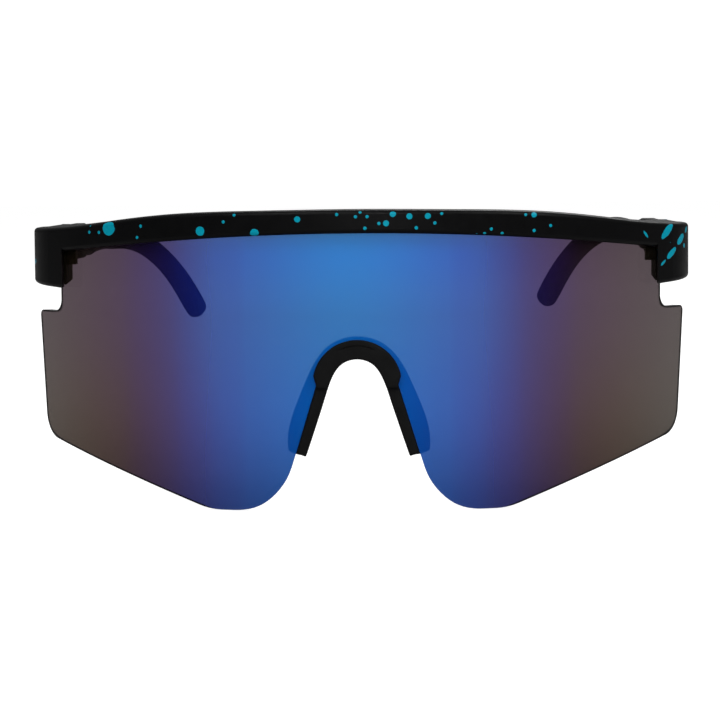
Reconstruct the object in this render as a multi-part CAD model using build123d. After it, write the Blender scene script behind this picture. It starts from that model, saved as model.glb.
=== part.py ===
"""Wraparound shield sport sunglasses, in millimetres.

+X is to the wearer's left, +Y runs back towards the ears and +Z is up. The origin is at the middle of
the bounding box in plan, level with the lowest point of the lens. Each physical piece is its own solid
in its own STEP file. Parts that come in pairs are drawn for the +X side and mirrored for the other.
"""

import os
from math import atan2, cos, degrees, pi, radians, sin, sqrt

from build123d import *

# Whole object
HALF_WIDTH = 74.0  # outermost point of each end block
APEX_Y = -73.97  # front of the lens at the nose
ARMS = {"right": -0.8, "left": 0.8}  # tilt at which each arm was left, degrees nose-up

# Lens: a sheet bent to a cylinder with an upright axis
LENS_R = 88.0
LENS_T = 2.0
AXIS_Y = APEX_Y + LENS_R
LENS_SEATED = 2.4  # how far the lens runs up into the groove
WING_TOP_X, WING_TOP_Z = 72.6, 42.05  # upper outer corner of the side wing
WING_LOW_X, WING_LOW_Z = 71.0, 14.2  # lower outer corner
NOTCH_X = 67.0  # edge of the lens beside the end block
LOBE_X = 27.0  # lowest point of each lobe
LOBE_END = 5.3  # the sloping lower edge meets the lobe's level this far outside its lowest point
SLIT_EASE = 0.08  # gap between lens and groove on each face

# Brow bar: its top edge dips towards the ends, and its bottom edge is one arc
BAR_TOP, BAR_TOP_END = 65.0, 60.5
BAR_DIP = ((20.0, 64.75), (41.0, 63.95), (53.0, 62.6), (60.0, 61.6), (66.0, 60.95))
BAR_LOW, BAR_LOW_END = 59.9, 55.4
BAR_PROUD = 3.0  # in front of the lens
BAR_BACK = 2.7  # behind the lens
CORNER_ANGLE = 50.0  # where the front turns back along the head, degrees round the lens axis

# End block
WALL_FRONT, WALL_BACK = 66.2, 65.8  # its inner wall beside the notch, at the front and at the joint
BLOCK_LOW = 47.6
BLOCK_LOW_SLOPE = 0.07  # rise of its underside towards the ear
SHELF_X, SHELF_Z = 65.0, 52.3  # above this level it is wider inwards, to carry the hinge
SHELF_DEPTH = 11.5
JOINT_Y = APEX_Y + 46.0  # face that the temple shuts against
JOINT_GAP = 0.15
TOE_IN = 4.5  # the temple leaves the front turned in by this angle

# Fold hinge
PIVOT_X = 67.4
KNUCKLE_R = 2.4
KNUCKLE_EASE = 0.2
KNUCKLE_LEVELS = (52.3, 54.8, 57.4, 60.0)  # lower lug, tongue, upper lug
TONGUE_EASE = 0.08
HINGE_SCREW_R, HINGE_HEAD_R, HINGE_HEAD_H = 0.8, 1.5, 0.9
HINGE_INSERT_R, HINGE_INSERT_H = 1.35, 1.9
RUNNING = 0.05  # radial clearance of a screw in what turns on it

# Hinge block and tilt joint, in the temple's own frame: Y back from the joint, X outwards from its skin
BLOCK_LENGTH = 34.0
TEMPLE_T = 4.8
TILT_Y, TILT_Z = 26.0, 56.2
DISC_R, DISC_T = 4.2, 2.1
DISC_EASE = 0.15
PLATE_T = 2.3
PLATE_REACH = 8.2  # radius of the plate's end about the tilt axis
WASHER_T, WASHER_R = 0.28, 3.6
TILT_SCREW_R, TILT_HEAD_R, TILT_HEAD_H = 0.9, 1.9, 0.8
TILT_INSERT_R, TILT_INSERT_H = 1.6, 1.8

# Arm and ear hook, by length along the temple's centreline in plan
STRAIGHT = 45.0
BEND_R = 106.0
ARM_X, ARM_Z = -2.2, 56.3
ARM_T = 4.4
ARM_H_FRONT, ARM_H_BACK = 7.4, 5.0
ARM_END = 64.0
DROOP_START, DROOP_R, DROOP_ANGLE = 73.0, 40.0, 50.0
HOOK_END = 108.8
SPIGOT_END, SPIGOT_T, SPIGOT_H = 74.0, 2.6, 3.4
SOCK_T, SOCK_H = 4.7, 5.6
WIRE_R, WIRE_START, WIRE_END = 0.75, 68.0, 105.0

# Nose saddle
SADDLE_FRONT = 1.2  # clip in front of the lens
SADDLE_Y = APEX_Y + LENS_T + 0.3  # plane where the pads begin
PAD_DEPTH = 9.0
NOSE_WIRE_R = 0.6

FAR = 200.0


def arch(z_mid, z_end, half_width):
    """Arc over the whole width, from one end through the middle to the other, in the XZ plane."""
    return ThreePointArc((-half_width, z_end), (0, z_mid), (half_width, z_end))


def bar_top():
    """Top edge of the bar, as one smooth line from end to end in the XZ plane."""
    half = [(HALF_WIDTH, BAR_TOP_END), *BAR_DIP[::-1]]
    return Spline(*[(-x, z) for x, z in half], (0, BAR_TOP), *half[::-1])


def through(sketch):
    """An outline in the XZ plane, run through the whole depth."""
    return extrude(Plane.XZ * sketch, FAR, both=True)


def upright(sketch, low=-5.0, high=90.0):
    """A plan outline, run from one height to another."""
    return extrude(Plane.XY.offset(low) * sketch, high - low)


def ring(r_in, r_out, low=-5.0, high=90.0):
    """Front half of a tube about the lens axis."""
    disc = Pos(0, AXIS_Y) * (Circle(r_out) - Circle(r_in))
    return upright(disc & (Pos(0, AXIS_Y - FAR / 2) * Rectangle(FAR, FAR)), low, high)


def polar(radius, angle):
    """Plan point at a radius and an angle round the lens axis, from straight ahead towards +X."""
    return (radius * sin(radians(angle)), AXIS_Y - radius * cos(radians(angle)))


def wedge(start, end, low, high):
    """Sector of plan between two angles round the lens axis, on the +X side."""
    far_side = [polar(FAR, start), polar(FAR, (start + end) / 2), polar(FAR, end)]
    return upright(make_face(Polyline((0, AXIS_Y), *far_side, close=True)), low, high)


def other(shape):
    """The same shape on the other side."""
    return mirror(shape, about=Plane.YZ)


def both_sides(shape):
    return shape + other(shape)


def pin(radius, low, high, x=PIVOT_X, y=JOINT_Y):
    """Upright round bar on the fold axis."""
    return Pos(x, y, low) * Cylinder(radius, high - low, align=(Align.CENTER, Align.CENTER, Align.MIN))


def cross_pin(radius, inner, outer):
    """Round bar on the tilt axis, in the temple's frame, between two depths below its skin."""
    bar = Cylinder(radius, outer - inner, align=(Align.CENTER, Align.CENTER, Align.MIN))
    return Pos(inner, TILT_Y, TILT_Z) * Rot(0, 90, 0) * bar


def one(shape):
    """The single solid of a shape."""
    solids = shape.solids()
    assert len(solids) == 1, f"{len(solids)} solids"
    return solids[0]


def soften(solid, edges, radius):
    """Rounds as many of the edges as will take the radius, all at once or else one by one."""
    try:
        return one(fillet(edges, radius))
    except (ValueError, AssertionError):
        pass
    for edge in edges:
        near = solid.edges().sort_by_distance(edge.center())[0]
        try:
            rounded = one(fillet([near], radius))
        except (ValueError, AssertionError):
            continue
        if rounded.is_valid:
            solid = rounded
    return solid


# ---------------------------------------------------------------- front


def nose_cutout():
    """Opening of the lens for the nose, from the lobes up to the arch, as a face in the XZ plane."""
    right = Spline(
        (LOBE_X, 0),
        (20.6, 1.5),
        (15.6, 6.6),
        (13.4, 12.4),
        tangents=((-1, 0), (-0.305, 1)),
    )
    side = Line(right @ 1, (8.95, 27.0))
    crown = ThreePointArc(side @ 1, (0, 35.4), (-8.95, 27.0))
    left = mirror(Curve() + [right, side], about=Plane.YZ)
    base = Polyline((-LOBE_X, 0), (-LOBE_X, -4), (LOBE_X, -4), (LOBE_X, 0))
    return make_face(Curve() + [right, side, crown, base] + left.edges())


def lens_outline():
    """Front view of the lens without its notches: arched top, upright sides, sloping lower edges."""
    top = arch(BAR_LOW + LENS_SEATED, BAR_LOW_END + LENS_SEATED, NOTCH_X)
    wide = 80.0
    slope = WING_LOW_Z / (WING_LOW_X - LOBE_X - LOBE_END)
    low_end = WING_LOW_Z + slope * (wide - WING_LOW_X)
    sides = Polyline(
        top @ 1,
        (wide, BAR_LOW_END + LENS_SEATED),
        (wide, low_end),
        (LOBE_X + LOBE_END, 0),
        (-LOBE_X - LOBE_END, 0),
        (-wide, low_end),
        (-wide, BAR_LOW_END + LENS_SEATED),
        top @ 0,
    )
    face = make_face(Curve() + [top] + sides.edges())
    lobes = [v for v in face.vertices() if abs(v.Y) < 0.01 and abs(v.X) < LOBE_X + 8]
    return fillet(lobes, 14.0)


def lens_angle(x):
    return degrees(atan2(x, sqrt(LENS_R**2 - x**2)))


def shield_lens():
    sheet = ring(LENS_R - LENS_T, LENS_R) & through(lens_outline())
    sheet -= through(nose_cutout())
    notch = wedge(lens_angle(NOTCH_X), 80.0, WING_TOP_Z, 90.0)
    sheet -= both_sides(notch)
    # The side edge is cut square to the sheet, by a plane that leans in towards the foot.
    top = lens_angle(WING_TOP_X)
    lean = degrees(atan2(
        radians(top - lens_angle(WING_LOW_X)) * LENS_R, WING_TOP_Z - WING_LOW_Z
    ))
    side = Pos(0, AXIS_Y, WING_TOP_Z) * Rot(0, 0, top) * Rot(0, lean, 0)
    side = side * Pos(FAR / 2, -LENS_R, 0) * Box(FAR, 60, 150)
    sheet -= both_sides(side)
    sheet = one(sheet)
    corners = sheet.edges().filter_by(lambda e: 1.0 < e.length < 4.2)

    def near(z, slack):
        return corners.filter_by(lambda e: abs(e.center().Z - z) < slack and abs(e.center().X) > 60)

    notch_root = near(WING_TOP_Z, 0.5).filter_by(lambda e: abs(e.center().X) < 69)
    sheet = soften(sheet, notch_root, 2.6)
    corners = sheet.edges().filter_by(lambda e: 1.0 < e.length < 4.2)
    wing_top = near(WING_TOP_Z, 0.5).filter_by(lambda e: abs(e.center().X) > 71)
    sheet = soften(sheet, wing_top, 1.2)
    corners = sheet.edges().filter_by(lambda e: 1.0 < e.length < 4.2)
    sheet = soften(sheet, near(WING_LOW_Z, 2.5), 6.0)
    return sheet


def frame_plan():
    """Plan of the half frame on the +X side: brow bar, corner and end block as one outline."""
    outer, inner = LENS_R + BAR_PROUD, LENS_R - LENS_T - BAR_BACK
    front = ThreePointArc(polar(outer, 0), polar(outer, CORNER_ANGLE / 2), polar(outer, CORNER_ANGLE))
    turn, out = radians(CORNER_ANGLE), radians(90 + TOE_IN)
    start_x, start_y = polar(outer, CORNER_ANGLE)
    radius = (HALF_WIDTH - start_x) / (1 - sin(turn))

    def on_corner(a):
        return (start_x + radius * (sin(a) - sin(turn)), start_y - radius * (cos(a) - cos(turn)))

    corner = ThreePointArc(on_corner(turn), on_corner((turn + out) / 2), on_corner(out))
    end_x, end_y = on_corner(out)
    skin_x = end_x - (JOINT_Y - end_y) * sin(radians(TOE_IN)) / cos(radians(TOE_IN))
    wall = 44.0
    rest = Polyline(corner @ 1, (skin_x, JOINT_Y), (SHELF_X, JOINT_Y), (SHELF_X - 1, JOINT_Y - 8), polar(inner, wall))
    back = ThreePointArc(polar(inner, wall), polar(inner, wall / 2), polar(inner, 0))
    middle = Line(polar(inner, 0), polar(outer, 0))
    return make_face(Curve() + [front, corner, back, middle] + rest.edges()), skin_x


def brow_frame():
    plan, _ = frame_plan()
    outer = bar_top()
    under = arch(BAR_LOW, BAR_LOW_END, NOTCH_X)
    # The bar's underside runs on level past the notch, inside the end block.
    ends = Polyline(under @ 1, (HALF_WIDTH + 1, BAR_LOW_END), (HALF_WIDTH + 1, BAR_TOP_END), outer @ 1)
    far_ends = mirror(ends, about=Plane.YZ)
    band = make_face(Curve() + [outer, under] + ends.edges() + far_ends.edges())
    bar = both_sides(upright(plan)) & through(band)
    foot_y = AXIS_Y - sqrt(LENS_R**2 - WALL_FRONT**2)
    beside = make_face(Polyline(
        (WALL_FRONT, foot_y - 9), (WALL_FRONT, foot_y), (WALL_BACK, JOINT_Y), (FAR, JOINT_Y), (FAR, foot_y - 9),
        close=True,
    ))
    shelf = Pos(SHELF_X - 1, JOINT_Y + 1, SHELF_Z) * Box(
        20, SHELF_DEPTH + 1, 20, align=(Align.MIN, Align.MAX, Align.MIN)
    )
    block = upright(plan) & (upright(beside) + shelf)
    side_view = Plane.YZ * make_face(Polyline(
        (foot_y - 20, BLOCK_LOW - 20 * BLOCK_LOW_SLOPE),
        (JOINT_Y + 5, BLOCK_LOW + (JOINT_Y + 5 - foot_y) * BLOCK_LOW_SLOPE),
        (JOINT_Y + 5, BAR_LOW_END + 2),
        (foot_y - 20, BAR_LOW_END + 2),
        close=True,
    ))
    block = block & extrude(side_view, FAR, both=True)
    frame = one(bar + both_sides(block))
    frame = soften_frame(frame)
    frame -= lens_groove()
    low, mid_low, mid_high, high = KNUCKLE_LEVELS
    lugs = pin(KNUCKLE_R, low, mid_low) + pin(KNUCKLE_R, mid_high, high)
    frame += both_sides(lugs)
    tongue_room = pin(KNUCKLE_R + KNUCKLE_EASE, mid_low, mid_high)
    frame -= both_sides(tongue_room)
    bores = pin(HINGE_SCREW_R, low, high) + pin(HINGE_HEAD_R, high - HINGE_HEAD_H, high + 3)
    bores += pin(HINGE_INSERT_R, low, low + HINGE_INSERT_H)
    head_room = pin(KNUCKLE_R + KNUCKLE_EASE, high, BAR_TOP)
    foot_room = pin(KNUCKLE_R + KNUCKLE_EASE, 0, low)
    frame -= both_sides(bores + head_room + foot_room)
    return one(frame)


def soften_frame(frame):
    """Rounds the outline of the bar and of the end blocks."""
    outer_r = LENS_R + BAR_PROUD

    def radius_of(p):
        return sqrt(p.X**2 + (p.Y - AXIS_Y) ** 2)

    long_edges = frame.edges().filter_by(lambda e: e.length > 20)
    front = long_edges.filter_by(lambda e: radius_of(e @ 0.3) > outer_r - 0.2)
    frame = soften(frame, front, 0.9)
    back = frame.edges().filter_by(lambda e: e.length > 20 and radius_of(e @ 0.3) < LENS_R - LENS_T)
    frame = soften(frame, back, 0.6)
    corner = frame.edges().filter_by(
        lambda e: abs(e.center().X) > 69 and e.center().Y < JOINT_Y - 0.5 and e.length > 2
    )
    return soften(frame, corner, 0.8)


def lens_groove():
    """Room for the lens in the bar and in both end blocks, open below."""
    top = arch(BAR_LOW + LENS_SEATED + SLIT_EASE, BAR_LOW_END + LENS_SEATED + SLIT_EASE, NOTCH_X + 0.1)
    box = Polyline(top @ 1, (NOTCH_X + 0.1, 20), (-NOTCH_X - 0.1, 20), top @ 0)
    slot = ring(LENS_R - LENS_T - SLIT_EASE, LENS_R + SLIT_EASE)
    return slot & through(make_face(Curve() + [top] + box.edges()))


def u_edges(points):
    """Upside-down U from points at its foot, up one leg to its crown. Three points give straight legs."""
    if len(points) > 3:
        far_leg = [(-x, z) for x, z in points[-2::-1]]
        return [Spline(*points, *far_leg)]
    foot, shoulder, crown = points
    over = ThreePointArc(shoulder, crown, (-shoulder[0], shoulder[1]))
    return [Line(foot, shoulder), over, Line((-shoulder[0], shoulder[1]), (-foot[0], foot[1]))]


def band(outer, inner):
    """Face between two upside-down Us, closed across their feet."""
    feet = [Line((k * outer[0][0], outer[0][1]), (k * inner[0][0], inner[0][1])) for k in (1, -1)]
    return make_face(Curve() + u_edges(outer) + u_edges(inner) + feet)


OPENING = ((11.2, 11.8), (9.3, 17.4), (7.1, 24.1), (5.35, 29.0), (3.4, 31.7), (0, 32.85))
LENS_EDGE = ((13.27, 12.6), (8.89, 27.0), (0, 35.3))
CLIP_EDGE = ((8.75, 26.9), (9.45, 29.3), (0, 37.05))
CLIP_FOOT = 26.9
FLANGE_EDGE = ((14.6, 12.8), (13.6, 17.5), (12.4, 22.1), (11.1, 27.2), (9.3, 31.9), (5.7, 35.95), (0, 37.6))
PAD_OUTER = ((15.4, 12.1), (15.6, 15.4), (14.6, 19.9), (12.3, 26.0), (9.7, 31.1), (5.9, 35.25), (0, 36.9))
PAD_INNER = ((13.4, 11.2), (12.1, 16.5), (9.9, 22.9), (7.7, 28.2), (4.9, 32.4), (0, 34.4))


def nose_saddle():
    """Rubber U that fills the lens's nose opening, clipped in front, with pads that flare behind."""
    web = ring(LENS_R - LENS_T - 1.0, LENS_R + SADDLE_FRONT) & through(band(LENS_EDGE, OPENING))
    low_front = ring(LENS_R + 0.5, LENS_R + 5) & through(Pos(0, 10) * Rectangle(60, 33.2))
    web -= low_front
    clip = ring(LENS_R + 0.02, LENS_R + SADDLE_FRONT) & through(band(CLIP_EDGE, OPENING))
    clip &= through(Pos(0, 40) * Rectangle(60, 2 * (40 - CLIP_FOOT)))
    flange = ring(LENS_R - LENS_T - 1.4, LENS_R - LENS_T - 0.02) & through(band(FLANGE_EDGE, OPENING))
    start = Plane.XZ.offset(-SADDLE_Y) * band(FLANGE_EDGE, OPENING)
    end = Plane.XZ.offset(-SADDLE_Y - PAD_DEPTH) * band(PAD_OUTER, PAD_INNER)
    pads = Solid.make_loft([start.faces()[0].outer_wire(), end.faces()[0].outer_wire()], ruled=True)
    pads -= ring(LENS_R - LENS_T - 0.02, FAR)
    # The crown is shallow and the pads are deepest at their feet.
    slant = Plane.YZ * make_face(Polyline(
        (SADDLE_Y + 3.0, 45), (SADDLE_Y + PAD_DEPTH - 0.4, 22), (SADDLE_Y + PAD_DEPTH + 5, 5),
        (SADDLE_Y + 30, 5), (SADDLE_Y + 30, 45), close=True,
    ))
    pads -= extrude(slant, FAR, both=True)
    saddle = one(web + clip + flange + pads)
    saddle -= nose_wire()
    return one(saddle)


def nose_wire():
    """Steel core that follows the arch, one radius inside the rubber."""
    shoulder, crown = (8.1, 27.0), (0, 34.6)
    foot = (11.8, 15.0)
    leg = Line(foot, shoulder)
    over = ThreePointArc(shoulder, crown, (-shoulder[0], shoulder[1]))
    back = Line((-shoulder[0], shoulder[1]), (-foot[0], foot[1]))
    plane = Plane.XZ.offset(-SADDLE_Y - 1.6)
    wires = [
        sweep(Plane(origin=e @ 0, z_dir=e % 0) * Circle(NOSE_WIRE_R), path=e)
        for e in (plane * (Curve() + [leg, over, back])).edges()
    ]
    joined = wires[0] + wires[1] + wires[2]
    for x, z in (shoulder, (-shoulder[0], shoulder[1])):
        joined += Pos(x, SADDLE_Y + 1.6, z) * Sphere(NOSE_WIRE_R)
    return one(joined)


# ---------------------------------------------------------------- temple, drawn in its own frame


def temple_place():
    """From the temple's frame to the object's, on the +X side."""
    _, skin_x = frame_plan()
    return Pos(skin_x, JOINT_Y, 0) * Rot(0, 0, TOE_IN)


def side_prism(face):
    """A side view outline (Y, Z), run through the whole width."""
    return extrude(Plane.YZ * face, 30, both=True)


def tilt_disc(radius):
    """Side view circle on the tilt axis."""
    return Pos(TILT_Y, TILT_Z) * Circle(radius)


def hinge_block():
    """Front piece of the temple: tongue of the fold hinge, full-depth front and the tilt joint's plate."""
    outline = make_face(Polyline(
        (-3, 48.5), (0, 48.85), (2.5, 49.6), (9.5, 52.2), (31.5, 52.2), (BLOCK_LENGTH, 53.6),
        (BLOCK_LENGTH, 60.4), (6, 60.4), (-3, 59.7), close=True,
    ))
    solid = side_prism(outline) & (Pos(-TEMPLE_T / 2, 0, 50) * Box(TEMPLE_T, 120, 80))
    plate_end = side_prism(Pos(TILT_Y - 50, 50) * Rectangle(100, 80) + tilt_disc(PLATE_REACH))
    solid &= plate_end
    solid = one(solid)
    skin = solid.edges().filter_by(lambda e: abs(e.center().X) < 0.01 and e.length > 3)
    solid = soften(solid, skin, 1.0)
    inside = solid.edges().filter_by(lambda e: abs(e.center().X + TEMPLE_T) < 0.01 and e.length > 3)
    solid = soften(solid, inside, 0.6)
    pocket = side_prism(tilt_disc(DISC_R + DISC_EASE) + Pos(TILT_Y + 50, TILT_Z) * Rectangle(100, 30))
    pocket &= Pos(-TEMPLE_T + PLATE_T + 15, 0, 50) * Box(30, 300, 80)
    solid -= pocket
    solid -= cross_pin(TILT_INSERT_R, -PLATE_T - 0.2 - TILT_INSERT_H, 1)
    solid -= cross_pin(TILT_SCREW_R, -TEMPLE_T + 0.25, 1)
    solid = temple_place() * solid
    solid &= Pos(0, JOINT_Y + JOINT_GAP + 100, 50) * Box(400, 200, 200)
    solid -= pin(KNUCKLE_R + KNUCKLE_EASE, 0, 90)
    _, low, high, _ = KNUCKLE_LEVELS
    tongue = pin(KNUCKLE_R, low + TONGUE_EASE, high - TONGUE_EASE)
    bridge = Pos(PIVOT_X, JOINT_Y + JOINT_GAP, low + TONGUE_EASE) * Box(
        5.0, KNUCKLE_R, high - low - 2 * TONGUE_EASE, align=(Align.MIN, Align.MIN, Align.MIN)
    )
    solid += tongue + bridge
    return one(solid - pin(HINGE_SCREW_R + RUNNING, 0, 90))


def centreline(s):
    """Point and direction of the temple's centreline at a length s along its plan."""
    h = max(0.0, s - STRAIGHT) / BEND_R
    x = ARM_X - BEND_R * (1 - cos(h))
    y = min(s, STRAIGHT) + BEND_R * sin(h)
    over = s - DROOP_START
    steep = radians(DROOP_ANGLE)
    if over <= 0:
        fall, slope = 0.0, 0.0
    elif over < DROOP_R * sin(steep):
        slope = sqrt(1 - (over / DROOP_R) ** 2)
        fall, slope = DROOP_R * (1 - slope), over / DROOP_R / slope
    else:
        slope = sin(steep) / cos(steep)
        fall = DROOP_R * (1 - cos(steep)) + (over - DROOP_R * sin(steep)) * slope
    return Vector(x, y, ARM_Z - fall), Vector(-sin(h), cos(h), -slope).normalized()


def section(s, thick, high, corner):
    """Rounded rectangle across the centreline."""
    point, along = centreline(s)
    outwards = Vector(along.Y, -along.X, 0).normalized()
    plane = Plane(origin=point, x_dir=outwards, z_dir=along)
    return plane * RectangleRounded(thick, high, corner)


def lofted(rows):
    return loft([section(*row) for row in rows])


def path_wire(start, end, steps):
    """Smooth line along the centreline."""
    points = [centreline(start + (end - start) * i / steps)[0] for i in range(steps + 1)]
    return Spline(*points, tangents=(centreline(start)[1], centreline(end)[1]))


def tip_wire():
    path = path_wire(WIRE_START, WIRE_END, 8)
    return one(sweep(Plane(origin=path @ 0, z_dir=path % 0) * Circle(WIRE_R), path=path))


def spigot():
    """Thin end of the arm, inside the sock."""
    return lofted([(s, SPIGOT_T, SPIGOT_H, 0.8) for s in (ARM_END - 3, ARM_END + 4, SPIGOT_END)])


def temple_arm():
    """Lapped disc of the tilt joint, slim beam, and the spigot for the sock."""
    beam = lofted([
        (TILT_Y, ARM_T, ARM_H_FRONT, 1.0),
        (STRAIGHT - 1, ARM_T, ARM_H_FRONT, 1.0),
    ])
    beam += lofted([
        (STRAIGHT - 1, ARM_T, ARM_H_FRONT, 1.0),
        ((STRAIGHT + ARM_END) / 2, ARM_T, ARM_H_BACK + 0.5, 1.0),
        (ARM_END, ARM_T, ARM_H_BACK, 1.0),
    ])
    # The inner half stops short of the plate, which it would meet in tilting.
    plate_room = side_prism(tilt_disc(PLATE_REACH + 0.35))
    beam -= plate_room & (Pos(-DISC_T - 15, 0, 50) * Box(30, 300, 80))
    disc = cross_pin(DISC_R, -DISC_T, 0)
    rim = disc.edges().filter_by(lambda e: e.center().X > -0.3)
    arm = beam + fillet(rim, 0.5) + spigot()
    arm -= cross_pin(TILT_SCREW_R + RUNNING, -5, 1)
    arm -= cross_pin(TILT_HEAD_R + RUNNING, -TILT_HEAD_H - 0.1, 1)
    return one(arm - tip_wire())


def ear_sock():
    """Rubber sleeve over the spigot and the wire, round at its end."""
    sock = lofted([
        (ARM_END + 0.05, SOCK_T - 0.3, SOCK_H - 0.4, 1.6),
        (70, SOCK_T, SOCK_H, 2.0),
        (78, SOCK_T, SOCK_H, 2.1),
        (86, SOCK_T - 0.2, SOCK_H - 0.3, 2.1),
        (93, SOCK_T - 0.2, SOCK_H - 0.4, 2.1),
        (100, SOCK_T, SOCK_H - 0.2, 2.2),
        (106, SOCK_T + 0.2, SOCK_H, 2.3),
        (HOOK_END, SOCK_T, SOCK_H - 0.6, 2.2),
    ])
    sock = one(sock)
    end_face = sock.faces().sort_by_distance(centreline(HOOK_END)[0])[0]
    sock = soften(sock, end_face.edges(), 1.9)
    return one(sock - spigot() - tip_wire())


def tilt_screw():
    """Countersunk in the disc, with a cross recess, and threaded into the insert."""
    shank = cross_pin(TILT_SCREW_R, -TEMPLE_T + 0.3, -TILT_HEAD_H)
    head = cross_pin(TILT_HEAD_R, -TILT_HEAD_H - 0.05, -0.05)
    slot = Box(0.8, 2.2, 0.5) + Box(0.8, 0.5, 2.2)
    return one(shank + head - Pos(-0.1, TILT_Y, TILT_Z) * slot)


def tilt_insert():
    outer = -TEMPLE_T + PLATE_T
    body = cross_pin(TILT_INSERT_R, -PLATE_T - 0.2 - TILT_INSERT_H, outer)
    return one(body - cross_pin(TILT_SCREW_R, -9, 1))


def tilt_washer():
    outer = -DISC_T - 0.05
    return one(cross_pin(WASHER_R, outer - WASHER_T, outer) - cross_pin(TILT_SCREW_R + 0.1, -9, 1))


def hinge_screw():
    _, _, _, high = KNUCKLE_LEVELS
    low = KNUCKLE_LEVELS[0]
    shank = pin(HINGE_SCREW_R, low + 0.2, high - HINGE_HEAD_H)
    head = pin(HINGE_HEAD_R, high - HINGE_HEAD_H, high - 0.05)
    slot = Pos(PIVOT_X, JOINT_Y, high) * Box(0.45, 4, 0.8)
    return one(shank + head - slot)


def hinge_insert():
    low = KNUCKLE_LEVELS[0]
    return one(pin(HINGE_INSERT_R, low + 0.05, low + HINGE_INSERT_H) - pin(HINGE_SCREW_R, 0, 90))


def main():
    os.makedirs("parts", exist_ok=True)
    pieces = {
        "brow_frame": brow_frame(),
        "shield_lens": shield_lens(),
        "nose_saddle": nose_saddle(),
        "nose_wire": nose_wire(),
    }
    place = temple_place()
    fixed = {"hinge_block": hinge_block(), "hinge_screw": hinge_screw(), "hinge_insert": hinge_insert()}
    on_block = {"tilt_screw": tilt_screw(), "tilt_insert": tilt_insert(), "tilt_washer": tilt_washer()}
    on_arm = {"temple_arm": temple_arm(), "ear_sock": ear_sock(), "tip_wire": tip_wire()}
    about_tilt = Pos(0, TILT_Y, TILT_Z)
    for side, tilt in ARMS.items():
        tilted = place * about_tilt * Rot(tilt, 0, 0) * about_tilt.inverse()
        shapes = dict(fixed)
        shapes.update({name: place * shape for name, shape in on_block.items()})
        shapes.update({name: tilted * shape for name, shape in on_arm.items()})
        for name, shape in shapes.items():
            pieces[f"{name}_{side}"] = shape if side == "left" else other(shape)
    for name, shape in pieces.items():
        export_step(shape, f"parts/{name}.step")
    whole = Compound(children=list(pieces.values())).bounding_box()
    print("box", whole.min, whole.max)


main()
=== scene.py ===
"""Wraparound shield sunglasses: materials, rubber pieces, floor, light and camera around the CAD frame.

Everything is in metres in the CAD's frame: +X to the wearer's left, +Y back to the ears, +Z up.
"""

from math import cos, radians, sin

import bmesh
import bpy
from mathutils import Matrix, Vector

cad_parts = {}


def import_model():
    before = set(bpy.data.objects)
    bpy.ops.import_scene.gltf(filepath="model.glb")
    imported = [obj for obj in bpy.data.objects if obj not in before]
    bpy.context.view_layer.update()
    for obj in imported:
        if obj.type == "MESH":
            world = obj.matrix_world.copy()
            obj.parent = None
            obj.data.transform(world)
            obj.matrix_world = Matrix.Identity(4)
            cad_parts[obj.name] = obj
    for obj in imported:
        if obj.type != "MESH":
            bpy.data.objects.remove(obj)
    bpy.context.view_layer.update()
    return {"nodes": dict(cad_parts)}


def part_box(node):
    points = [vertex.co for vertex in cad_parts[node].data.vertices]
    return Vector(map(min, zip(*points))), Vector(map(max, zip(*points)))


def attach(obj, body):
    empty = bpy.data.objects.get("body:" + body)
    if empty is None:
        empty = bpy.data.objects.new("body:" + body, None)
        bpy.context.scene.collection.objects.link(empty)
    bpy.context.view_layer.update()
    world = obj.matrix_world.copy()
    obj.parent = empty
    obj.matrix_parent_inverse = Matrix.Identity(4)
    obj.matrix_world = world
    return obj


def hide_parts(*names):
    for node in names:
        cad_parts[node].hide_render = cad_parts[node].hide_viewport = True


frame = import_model()
scene = bpy.context.scene
nodes = frame["nodes"]
MM = 0.001

# Sizes that the looks share with the CAD
lens_low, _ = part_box("shield_lens")
APEX_Y = lens_low.y
LENS_R, LENS_T = 88 * MM, 2 * MM
AXIS_Y = APEX_Y + LENS_R
BAR_R = 91 * MM
CORNER_ANGLE = radians(50)
HALF_WIDTH = 74 * MM
WING_TOP, WING_LOW = (72.6 * MM, 42.05 * MM), (71.0 * MM, 14.2 * MM)
LOWER_EDGE_SLOPE = radians(20.2)
NOTCH_X = 67 * MM
BAR_UNDERSIDE = 59.9 * MM


# ---------------------------------------------------------------- small node language


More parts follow.
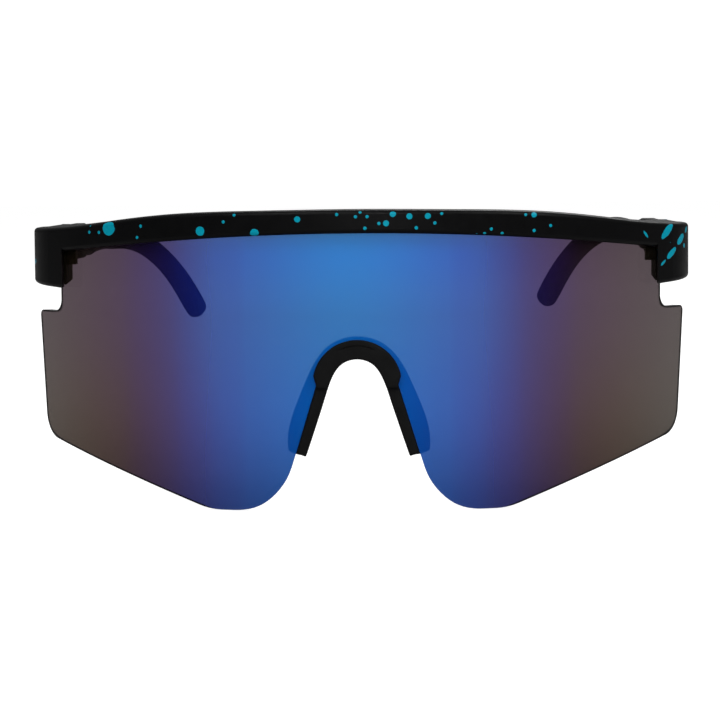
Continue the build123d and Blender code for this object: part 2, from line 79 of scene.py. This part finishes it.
class Graph:
    """Builds a material's nodes: each call adds one node and returns its output socket."""

    def __init__(self, name):
        self.material = bpy.data.materials.new(name)
        self.material.use_nodes = True
        self.tree = self.material.node_tree
        self.tree.nodes.clear()

    def node(self, kind, **settings):
        n = self.tree.nodes.new("ShaderNode" + kind)
        for key, value in settings.items():
            setattr(n, key, value)
        return n

    def put(self, socket, value):
        if isinstance(value, bpy.types.NodeSocket):
            self.tree.links.new(value, socket)
        elif isinstance(value, tuple) and len(value) == 3 and socket.type == "RGBA":
            socket.default_value = (*value, 1)
        else:
            socket.default_value = value

    def math(self, operation, a, b=0.0, c=0.0, clamp=False):
        n = self.node("Math", operation=operation, use_clamp=clamp)
        for socket, value in zip(n.inputs, (a, b, c)):
            self.put(socket, value)
        return n.outputs[0]

    def add(self, a, b):
        return self.math("ADD", a, b)

    def sub(self, a, b):
        return self.math("SUBTRACT", a, b)

    def mul(self, a, b):
        return self.math("MULTIPLY", a, b)

    def ramp_value(self, value, low, high):
        """0 below low, 1 above high, smooth between."""
        n = self.node("MapRange", interpolation_type="SMOOTHSTEP")
        for socket, v in zip(n.inputs, (value, low, high, 0.0, 1.0)):
            self.put(socket, v)
        return n.outputs[0]

    def scale_value(self, value, low, high, to_low, to_high):
        n = self.node("MapRange")
        for socket, v in zip(n.inputs, (value, low, high, to_low, to_high)):
            self.put(socket, v)
        return n.outputs[0]

    def place(self):
        """The point on the object, as x, y and z."""
        self.coordinates = self.node("TexCoord").outputs["Object"]
        n = self.node("SeparateXYZ")
        self.put(n.inputs[0], self.coordinates)
        return n.outputs[0], n.outputs[1], n.outputs[2]

    def combine(self, x, y, z):
        n = self.node("CombineXYZ")
        for socket, v in zip(n.inputs, (x, y, z)):
            self.put(socket, v)
        return n.outputs[0]

    def noise(self, scale, detail=3.0, roughness=0.5, vector=None):
        n = self.node("TexNoise")
        self.put(n.inputs["Vector"], vector or self.coordinates)
        self.put(n.inputs["Scale"], scale)
        self.put(n.inputs["Detail"], detail)
        self.put(n.inputs["Roughness"], roughness)
        return n.outputs["Fac"]

    def mix(self, factor, a, b):
        n = self.node("Mix", data_type="RGBA")
        self.put(n.inputs["Factor"], factor)
        self.put(n.inputs["A"], a)
        self.put(n.inputs["B"], b)
        return n.outputs["Result"]

    def tint(self, colour, value):
        """A colour scaled by a number."""
        n = self.node("VectorMath", operation="SCALE")
        self.put(n.inputs[0], colour)
        self.put(n.inputs["Scale"], value)
        return n.outputs[0]

    def plus(self, a, b):
        """The sum of two colours."""
        n = self.node("VectorMath", operation="ADD")
        self.put(n.inputs[0], a)
        self.put(n.inputs[1], b)
        return n.outputs[0]

    def colours(self, value, stops):
        n = self.node("ValToRGB")
        self.put(n.inputs[0], value)
        ramp = n.color_ramp
        ramp.interpolation = "CARDINAL"
        while len(ramp.elements) < len(stops):
            ramp.elements.new(0.5)
        for element, (position, colour) in zip(ramp.elements, stops):
            element.position = position
            element.color = (*colour, 1)
        return n.outputs["Color"]

    def bump(self, height, distance, strength=1.0, normal=None):
        n = self.node("Bump")
        self.put(n.inputs["Height"], height)
        self.put(n.inputs["Distance"], distance)
        self.put(n.inputs["Strength"], strength)
        if normal:
            self.put(n.inputs["Normal"], normal)
        return n.outputs[0]

    def principled(self, **inputs):
        n = self.node("BsdfPrincipled")
        for key, value in inputs.items():
            self.put(n.inputs[key.replace("_", " ").title().replace("Ior", "IOR")], value)
        return n.outputs[0]

    def finish(self, shader):
        self.put(self.node("OutputMaterial").inputs["Surface"], shader)
        return self.material


# ---------------------------------------------------------------- materials

BLACK = (0.0016, 0.0016, 0.0018)
PAINT = (0.001, 0.36, 0.50)


def plastic_finish(g, paint=None):
    """Satin black nylon with a fine moulded grain, and raised paint where the mask is 1."""
    mottle = g.noise(90, 4)
    base = g.mix(mottle, BLACK, tuple(c * 1.7 for c in BLACK))
    rough = g.scale_value(g.noise(420, 5), 0.3, 0.7, 0.30, 0.42)
    normal = g.bump(g.noise(5200, 2), 0.00001, 0.35)
    if paint is not None:
        shade = g.mix(g.noise(300, 2), tuple(c * 0.86 for c in PAINT), PAINT)
        base = g.mix(paint, base, shade)
        rough = g.math("MULTIPLY_ADD", paint, -0.08, rough)
        normal = g.bump(paint, 0.00006, 0.6, normal)
    return g.finish(g.principled(base_color=base, roughness=rough, normal=normal, specular_ior_level=0.09))


def drop_mask(g, u, v, drops):
    """Where any of the drops lies. Each is (u, v, half width, half height, lean in degrees), in mm."""
    found = None
    ragged = g.mul(g.sub(g.noise(900, 2), 0.5), 0.35)
    for du, dv, half_u, half_v, lean in drops:
        c, s = cos(radians(lean)), sin(radians(lean))
        a, b = g.sub(u, du * MM), g.sub(v, dv * MM)
        along = g.math("MULTIPLY_ADD", a, c, g.mul(b, s))
        across = g.math("MULTIPLY_ADD", b, c, g.mul(a, -s))
        along, across = g.mul(along, 1 / (half_u * MM)), g.mul(across, 1 / (half_v * MM))
        distance = g.math("POWER", g.math("MULTIPLY_ADD", along, along, g.mul(across, across)), 0.5)
        # A point inside counts above 0, and small drops keep the same crisp edge in mm as large ones.
        edge = 0.06 / min(half_u, half_v)
        inside = g.ramp_value(g.add(distance, ragged), 1 + edge, 1 - edge)
        found = inside if found is None else g.math("MAXIMUM", found, inside)
    return found


def specks(g, vector, cells, share, largest):
    """Small round specks, in a random share of a grid's cells, up to the largest share of a cell across."""
    n = g.node("TexVoronoi", feature="F1")
    g.put(n.inputs["Vector"], vector)
    g.put(n.inputs["Scale"], cells)
    pick = g.node("SeparateColor")
    g.put(pick.inputs[0], n.outputs["Color"])
    chosen = g.math("LESS_THAN", pick.outputs[0], share)
    size = g.mul(g.math("POWER", pick.outputs[1], 3.0), largest)
    spot = g.ramp_value(n.outputs["Distance"], g.add(size, 0.04), g.sub(size, 0.04))
    return g.mul(spot, chosen)


# Paint on the brow bar: radius of the drops, then (along the bar, up it), in mm
DROPS_BY_SIZE = [
    (1.7, [(-58.5, 61)]),
    (1.0, [(-34.5, 60.5), (-22, 60)]),
    (0.65, [(-12.5, 63), (6.5, 62), (8, 64), (11.5, 63.5), (15.5, 63.5), (39.5, 63.5)]),
    (0.35, [
        (-64.5, 60), (-61.5, 60), (-50.5, 59), (-49.5, 61.5), (-29, 62.5), (-26.5, 64), (-4, 64),
        (0, 63.5), (1, 64.5), (2.5, 63.5), (2, 61), (5, 62), (13, 61), (17, 62), (18.5, 64),
        (28, 59.5), (29.5, 60.5), (32, 59.5), (37.5, 63.5), (39.5, 60), (43.5, 61),
    ]),
]
BAR_DROPS = [(u, v, size, size, 0) for size, places in DROPS_BY_SIZE for u, v in places]
# Drops flung across the end blocks, long ones leaning: (along, up, half length, half width, lean)
CORNER_DROPS = [
    (77.5, 59, 2.5, 0.9, 38), (83, 57, 2, 0.8, 32), (79, 54, 2, 0.7, 33), (76, 52, 1, 0.3, 36),
    (70, 58.5, 1, 0.3, -47), (86.5, 59, 1, 0.5, 35), (85, 55.5, 0.5, 0.5, 0), (90.5, 54.5, 0.5, 0.5, 0),
    (-87.5, 53, 1, 0.6, 0),
]


def bar_skin(g, x, y, z):
    """Unrolls the bar's skin: u along it from the nose, v up it, both in metres."""
    side = g.math("SIGN", x)
    far = g.math("ABSOLUTE", x)
    ahead = g.sub(AXIS_Y, y)
    angle = g.math("ARCTAN2", far, ahead)
    radius = g.math("SQRT", g.math("MULTIPLY_ADD", far, far, g.mul(ahead, ahead)))
    start_x, start_y = BAR_R * sin(CORNER_ANGLE), AXIS_Y - BAR_R * cos(CORNER_ANGLE)
    corner_r = (HALF_WIDTH - start_x) / (1 - sin(CORNER_ANGLE))
    centre_x = start_x - corner_r * sin(CORNER_ANGLE)
    centre_y = start_y + corner_r * cos(CORNER_ANGLE)
    cx, cy = g.sub(far, centre_x), g.sub(centre_y, y)
    corner_angle = g.math("ARCTAN2", cx, cy)
    corner_radius = g.math("SQRT", g.math("MULTIPLY_ADD", cx, cx, g.mul(cy, cy)))
    at_corner = g.math("GREATER_THAN", angle, CORNER_ANGLE)
    along_bar = g.mul(angle, BAR_R)
    along_corner = g.math("MULTIPLY_ADD", g.sub(corner_angle, CORNER_ANGLE), corner_r, BAR_R * CORNER_ANGLE)
    u = g.add(along_bar, g.mul(at_corner, g.sub(along_corner, along_bar)))
    depth_bar, depth_corner = g.sub(BAR_R, radius), g.sub(corner_r, corner_radius)
    depth = g.add(depth_bar, g.mul(at_corner, g.sub(depth_corner, depth_bar)))
    depth = g.math("MAXIMUM", depth, 0.0)
    middle = g.math("MULTIPLY_ADD", g.mul(far, far), -0.98, 62.4 * MM)
    upper = g.math("SIGN", g.sub(z, middle))
    v = g.math("MULTIPLY_ADD", upper, depth, z)
    return g.mul(u, side), v


def painted_plastic():
    g = Graph("frame_black")
    x, y, z = g.place()
    u, v = bar_skin(g, x, y, z)
    mask = drop_mask(g, u, v, BAR_DROPS + CORNER_DROPS)
    fine = specks(g, g.combine(u, g.mul(v, 1.0), 0.0), 420, 0.16, 0.16)
    return plastic_finish(g, g.math("MAXIMUM", mask, fine))


def temple_plastic():
    """The temples carry the same splatter, sparser, on their outer skin."""
    g = Graph("temple_black")
    x, y, z = g.place()
    outer = g.ramp_value(g.math("MULTIPLY_ADD", g.sub(y, -28 * MM), 0.079, g.math("ABSOLUTE", x)),
                         72.4 * MM, 73.2 * MM)
    along = g.combine(g.mul(y, 1.0), g.mul(z, 1.0), g.math("SIGN", x))
    large = specks(g, g.combine(g.mul(y, 0.7), z, g.math("SIGN", x)), 130, 0.30, 0.20)
    small = specks(g, along, 330, 0.30, 0.20)
    mask = g.mul(g.math("MAXIMUM", large, small), outer)
    return plastic_finish(g, mask)


# The coat from its middle outwards, the same on both sides, as linear colours: blue, indigo, violet
# and brown. Each row: distance in mm, what it reflects, then what shows through it at mid height
# and low down.
COAT_MIDDLE = -2
COAT_REACH = 76
COAT = [
    (0, (0.001, 0.10, 0.41), (0.04, 0.08, 0.06), (0.03, 0.05, 0.09)),
    (22, (0.002, 0.04, 0.27), (0.05, 0.09, 0.14), (0.04, 0.07, 0.14)),
    (30, (0.003, 0.014, 0.14), (0.055, 0.09, 0.20), (0.05, 0.06, 0.155)),
    (38, (0.005, 0.005, 0.06), (0.065, 0.06, 0.14), (0.06, 0.045, 0.10)),
    (50, (0.009, 0.004, 0.01), (0.08, 0.055, 0.09), (0.07, 0.045, 0.045)),
    (COAT_REACH, (0.01, 0.01, 0.007), (0.095, 0.08, 0.08), (0.09, 0.08, 0.07)),
]
OUTER_CLEAR, INNER_CLEAR = 0.40, 0.45
MIRROR_GAIN, THROUGH_GAIN = 1.95, 4.2


def lens_rim(g, x, z):
    """1 along the bevelled outline of the lens: its side, sloping lower edge and notch."""
    far = g.math("ABSOLUTE", x)
    side_x = g.scale_value(z, WING_LOW[1], WING_TOP[1], WING_LOW[0], WING_TOP[0])
    past_side = g.sub(far, side_x)
    across, down = sin(LOWER_EDGE_SLOPE), -cos(LOWER_EDGE_SLOPE)
    below = g.add(g.mul(g.sub(far, WING_LOW[0]), across), g.mul(g.sub(z, WING_LOW[1]), down))
    in_notch = g.math("SMOOTH_MIN", g.sub(far, NOTCH_X), g.sub(z, WING_TOP[1]), 3.5 * MM)
    outside = g.math("MAXIMUM", g.math("SMOOTH_MAX", past_side, below, 5.3 * MM), in_notch)
    return g.ramp_value(outside, -0.55 * MM, -0.25 * MM)


def coated_lens():
    """Smoke polycarbonate, mirrored in front: the coat runs from blue through violet to brown."""
    g = Graph("lens_mirror")
    x, y, z = g.place()
    ahead = g.sub(AXIS_Y, y)
    radius = g.math("SQRT", g.math("MULTIPLY_ADD", x, x, g.mul(ahead, ahead)))
    outer = g.ramp_value(radius, LENS_R - 0.20 * MM, LENS_R - 0.08 * MM)
    inner = g.ramp_value(radius, LENS_R - LENS_T + 0.20 * MM, LENS_R - LENS_T + 0.08 * MM)
    # The coat's bands wander a little, as a vapour coat's do.
    wander = g.mul(g.sub(g.noise(18, 2), 0.5), 1.6 * MM)
    left, right = (COAT_MIDDLE - COAT_REACH) * MM, (COAT_MIDDLE + COAT_REACH) * MM
    across = g.scale_value(g.add(x, wander), left, right, 0.0, 1.0)

    def band(column, gain):
        near = [(row[0] / COAT_REACH, row[column]) for row in COAT]
        both = [(-at, colour) for at, colour in near[:0:-1]] + near
        return g.tint(g.colours(across, [(0.5 + at / 2, colour) for at, colour in both]), gain)

    # Painted light and shade: the coat and what shows through it are painted darker towards the bottom and
    # brighter towards the top, a painted reflection of the light from above that also paints light into the
    # bar's shadow.
    low = g.scale_value(g.ramp_value(z, -12 * MM, 26 * MM), 0.0, 1.0, 0.42, 1.0)
    high = g.scale_value(z, 42 * MM, 60 * MM, 1.0, 1.2)
    painted_light_top = g.scale_value(z, 42 * MM, 58 * MM, 1.0, 1.4)
    coat = band(1, MIRROR_GAIN)
    mirror = g.tint(coat, g.mul(low, painted_light_top))
    through = g.mix(g.ramp_value(z, 8 * MM, 50 * MM), band(3, THROUGH_GAIN), band(2, THROUGH_GAIN))
    through = g.tint(through, g.mul(low, high))
    # Close under the bar, where the bar's shadow falls on the front, painted light: the coat's colour is
    # added to what shows through, to brighten the bar's shadow.
    under_bar = g.math("MULTIPLY_ADD", g.mul(x, x), -1.0, BAR_UNDERSIDE)
    painted_light_under_bar = g.math("POWER", g.scale_value(g.sub(under_bar, z), 7.0 * MM, 0.0, 0.0, 1.0), 3.0)
    # Painted light: the coat's colour fills the bar's shadow here.
    through = g.plus(through, g.tint(coat, g.mul(painted_light_under_bar, 0.85)))
    rim = g.mul(lens_rim(g, x, z), outer)
    colour = g.mix(outer, g.mix(inner, (0.012, 0.012, 0.013), (0.010, 0.010, 0.011)), mirror)
    colour = g.mix(rim, colour, (0.003, 0.003, 0.003))
    rough = g.scale_value(g.noise(60, 4), 0.35, 0.65, 0.07, 0.13)
    body = g.principled(base_color=colour, roughness=rough, specular_ior_level=0.12)
    clear = g.node("BsdfTransparent")
    g.put(clear.inputs[0], g.mix(outer, (1.0, 1.0, 1.0), through))
    # The coat takes its share first, then the smoked back or the polished edge; the bevel lets little by.
    share = g.math("MULTIPLY_ADD", outer, OUTER_CLEAR - INNER_CLEAR, INNER_CLEAR)
    share = g.mul(share, g.math("MULTIPLY_ADD", rim, -0.93, 1.0))
    mixed = g.node("MixShader")
    g.put(mixed.inputs[0], share)
    g.put(mixed.inputs[1], body)
    g.put(mixed.inputs[2], clear.outputs[0])
    return g.finish(mixed.outputs[0])


def rubber(name, extra=None):
    """Matt black rubber, bloomed a little and finely pitted."""
    g = Graph(name)
    x, y, z = g.place()
    base = g.mix(g.noise(140, 5), (0.0018, 0.0018, 0.0019), (0.0036, 0.0036, 0.0038))
    rough = g.scale_value(g.noise(350, 3), 0.3, 0.7, 0.58, 0.74)
    height = g.add(g.noise(3800, 2), g.mul(g.noise(700, 2), 0.8))
    normal = g.bump(height, 0.00002, 0.5)
    if extra:
        normal, base = extra(g, x, y, z, normal, base)
    return g.finish(g.principled(base_color=base, roughness=rough, normal=normal, specular_ior_level=0.13))


def saddle_groove_and_shade(g, x, y, z, normal, base):
    """Shallow moulded line round the clip's crown, dented in and darkened with painted shade."""
    lift = g.sub(z, 27.4 * MM)
    radius = g.math("SQRT", g.math("MULTIPLY_ADD", x, x, g.mul(lift, lift)))
    line = g.ramp_value(g.math("ABSOLUTE", g.sub(radius, 8.3 * MM)), 0.24 * MM, 0.06 * MM)
    near = g.ramp_value(g.math("ABSOLUTE", x), 4.0 * MM, 2.8 * MM)
    front = g.ramp_value(y, APEX_Y + 0.4 * MM, APEX_Y - 0.4 * MM)
    line = g.mul(g.mul(line, near), front)
    normal = g.bump(line, -0.00025, 0.9, normal)
    # Painted shade: the groove's line is darkened below the rubber's own colour.
    return normal, g.mix(line, base, (0.001, 0.001, 0.001))


def metal(name, colour, rough):
    """Turned metal, with fine tool marks and a little wear."""
    g = Graph(name)
    g.place()
    stretched = g.node("Mapping")
    g.put(stretched.inputs["Vector"], g.coordinates)
    stretched.inputs["Scale"].default_value = (1, 1, 12)
    marks = g.noise(1500, 4, vector=stretched.outputs[0])
    base = g.mix(g.noise(600, 3), tuple(c * 0.8 for c in colour), colour)
    roughness = g.scale_value(marks, 0.3, 0.7, rough - 0.07, rough + 0.09)
    normal = g.bump(marks, 0.000004, 0.5)
    return g.finish(g.principled(base_color=base, roughness=roughness, metallic=1.0, normal=normal))


def dress(material, *names):
    for name in names:
        mesh = nodes[name].data
        mesh.materials.clear()
        mesh.materials.append(material)


steel, brass = metal("steel", (0.56, 0.56, 0.57), 0.30), metal("brass", (0.72, 0.50, 0.20), 0.34)
dress(painted_plastic(), "brow_frame")
dress(coated_lens(), "shield_lens")
dress(steel, "nose_wire")
temple_black = temple_plastic()
for side in ("left", "right"):
    dress(temple_black, f"hinge_block_{side}", f"temple_arm_{side}")
    dress(steel, *(f"{n}_{side}" for n in ("hinge_screw", "tilt_screw", "tilt_washer", "tip_wire")))
    dress(brass, f"hinge_insert_{side}", f"tilt_insert_{side}")


# ---------------------------------------------------------------- rubber pieces


def smooth_copy(node, name, voxel, rounds):
    """A soft-edged skin of a moulded rubber CAD node: remeshed, then relaxed to round its corners."""
    piece = bpy.data.objects.new(name, nodes[node].data.copy())
    scene.collection.objects.link(piece)
    remesh = piece.modifiers.new("skin", "REMESH")
    remesh.mode, remesh.voxel_size = "VOXEL", voxel
    relax = piece.modifiers.new("relax", "SMOOTH")
    relax.factor, relax.iterations = 0.5, rounds
    graph = bpy.context.evaluated_depsgraph_get()
    mesh = bpy.data.meshes.new_from_object(piece.evaluated_get(graph))
    piece.modifiers.clear()
    piece.data = mesh
    for polygon in mesh.polygons:
        polygon.use_smooth = True
    return piece


def take_over(piece, node, material, body):
    piece.data.materials.clear()
    piece.data.materials.append(material)
    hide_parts(node)
    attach(piece, body)


saddle = smooth_copy("nose_saddle", "nose_saddle_rubber", 0.26 * MM, 4)
take_over(saddle, "nose_saddle", rubber("nose_rubber", saddle_groove_and_shade), "front")

sock_rubber = rubber("sock_rubber")
for side in ("left", "right"):
    sock = smooth_copy(f"ear_sock_{side}", f"ear_sock_{side}_rubber", 0.34 * MM, 5)
    take_over(sock, f"ear_sock_{side}", sock_rubber, f"arm_{side}")


# ---------------------------------------------------------------- floor, light and camera


def floor():
    bm = bmesh.new()
    size, cuts = 6.0, 24
    bmesh.ops.create_grid(bm, x_segments=cuts, y_segments=cuts, size=size / 2)
    mesh = bpy.data.meshes.new("floor")
    bm.to_mesh(mesh)
    bm.free()
    plane = bpy.data.objects.new("floor", mesh)
    plane.location = (0, 0, -0.0002)
    scene.collection.objects.link(plane)
    g = Graph("floor_paper")
    g.place()
    shade = g.mix(g.noise(40, 4), (0.44, 0.44, 0.44), (0.47, 0.47, 0.47))
    paper = g.principled(base_color=shade, roughness=0.9, specular_ior_level=0.1)
    glow = g.node("Emission")
    glow.inputs["Color"].default_value = (1, 1, 1, 1)
    glow.inputs["Strength"].default_value = 0.85
    seen = g.node("LightPath").outputs["Is Camera Ray"]
    lit, black = g.node("MixShader"), g.node("Emission")
    black.inputs["Strength"].default_value = 0.0
    g.put(lit.inputs[0], seen)
    g.put(lit.inputs[1], black.outputs[0])
    g.put(lit.inputs[2], glow.outputs[0])
    both = g.node("AddShader")
    g.put(both.inputs[0], paper)
    g.put(both.inputs[1], lit.outputs[0])
    mesh.materials.append(g.finish(both.outputs[0]))


def world():
    """White to the eye; dim ahead of the lens and brighter above and behind, where it only lights."""
    w = bpy.data.worlds.new("studio")
    scene.world = w
    w.use_nodes = True
    tree = w.node_tree
    tree.nodes.clear()
    direction = tree.nodes.new("ShaderNodeTexCoord")
    split = tree.nodes.new("ShaderNodeSeparateXYZ")
    tree.links.new(direction.outputs["Generated"], split.inputs[0])
    up = tree.nodes.new("ShaderNodeMapRange")
    tree.links.new(split.outputs[2], up.inputs[0])
    for i, v in enumerate((0.0, 0.9, 0.06, 0.40)):
        up.inputs[i + 1].default_value = v
    light, sky = tree.nodes.new("ShaderNodeBackground"), tree.nodes.new("ShaderNodeBackground")
    tree.links.new(up.outputs[0], light.inputs["Color"])
    sky.inputs["Color"].default_value = (1, 1, 1, 1)
    sky.inputs["Strength"].default_value = 1.3
    path, mixed = tree.nodes.new("ShaderNodeLightPath"), tree.nodes.new("ShaderNodeMixShader")
    tree.links.new(path.outputs["Is Camera Ray"], mixed.inputs[0])
    tree.links.new(light.outputs[0], mixed.inputs[1])
    tree.links.new(sky.outputs[0], mixed.inputs[2])
    out = tree.nodes.new("ShaderNodeOutputWorld")
    tree.links.new(mixed.outputs[0], out.inputs["Surface"])


def softbox(name, at, aim, size, power):
    data = bpy.data.lights.new(name, "AREA")
    data.shape, data.size, data.energy = "DISK", size, power
    lamp = bpy.data.objects.new(name, data)
    lamp.location = at
    lamp.rotation_euler = (Vector(aim) - Vector(at)).to_track_quat("-Z", "Y").to_euler()
    scene.collection.objects.link(lamp)


floor()
world()
softbox("key", (-0.35, -0.85, 0.95), (0, -0.04, 0.03), 0.7, 4.6)
softbox("low", (0.12, -1.30, 0.42), (0, -0.04, 0.03), 0.5, 3.8)
softbox("fill", (0.75, -0.55, 0.75), (0, -0.04, 0.03), 0.6, 4)
softbox("rim", (0.15, 0.75, 0.80), (0, 0.0, 0.04), 0.6, 5)


def camera():
    """Front view from a little above and to the wearer's left, rolled half a degree."""
    distance, yaw, rise, roll = 0.700, radians(1.5), radians(4.0), radians(0.5)
    target = Vector((0, APEX_Y, 32.7 * MM))
    back = Vector((sin(yaw) * cos(rise), -cos(yaw) * cos(rise), sin(rise)))
    data = bpy.data.cameras.new("view")
    data.sensor_width, data.lens = 36, 163.15
    data.shift_x = 3.0 / 720
    data.clip_start, data.clip_end = 0.01, 50
    cam = bpy.data.objects.new("view", data)
    turn = (-back).to_track_quat("-Z", "Y").to_matrix().to_4x4() @ Matrix.Rotation(-roll, 4, "Z")
    cam.matrix_world = Matrix.Translation(target + back * distance) @ turn
    scene.collection.objects.link(cam)
    scene.camera = cam


camera()
scene.view_settings.view_transform = "Standard"
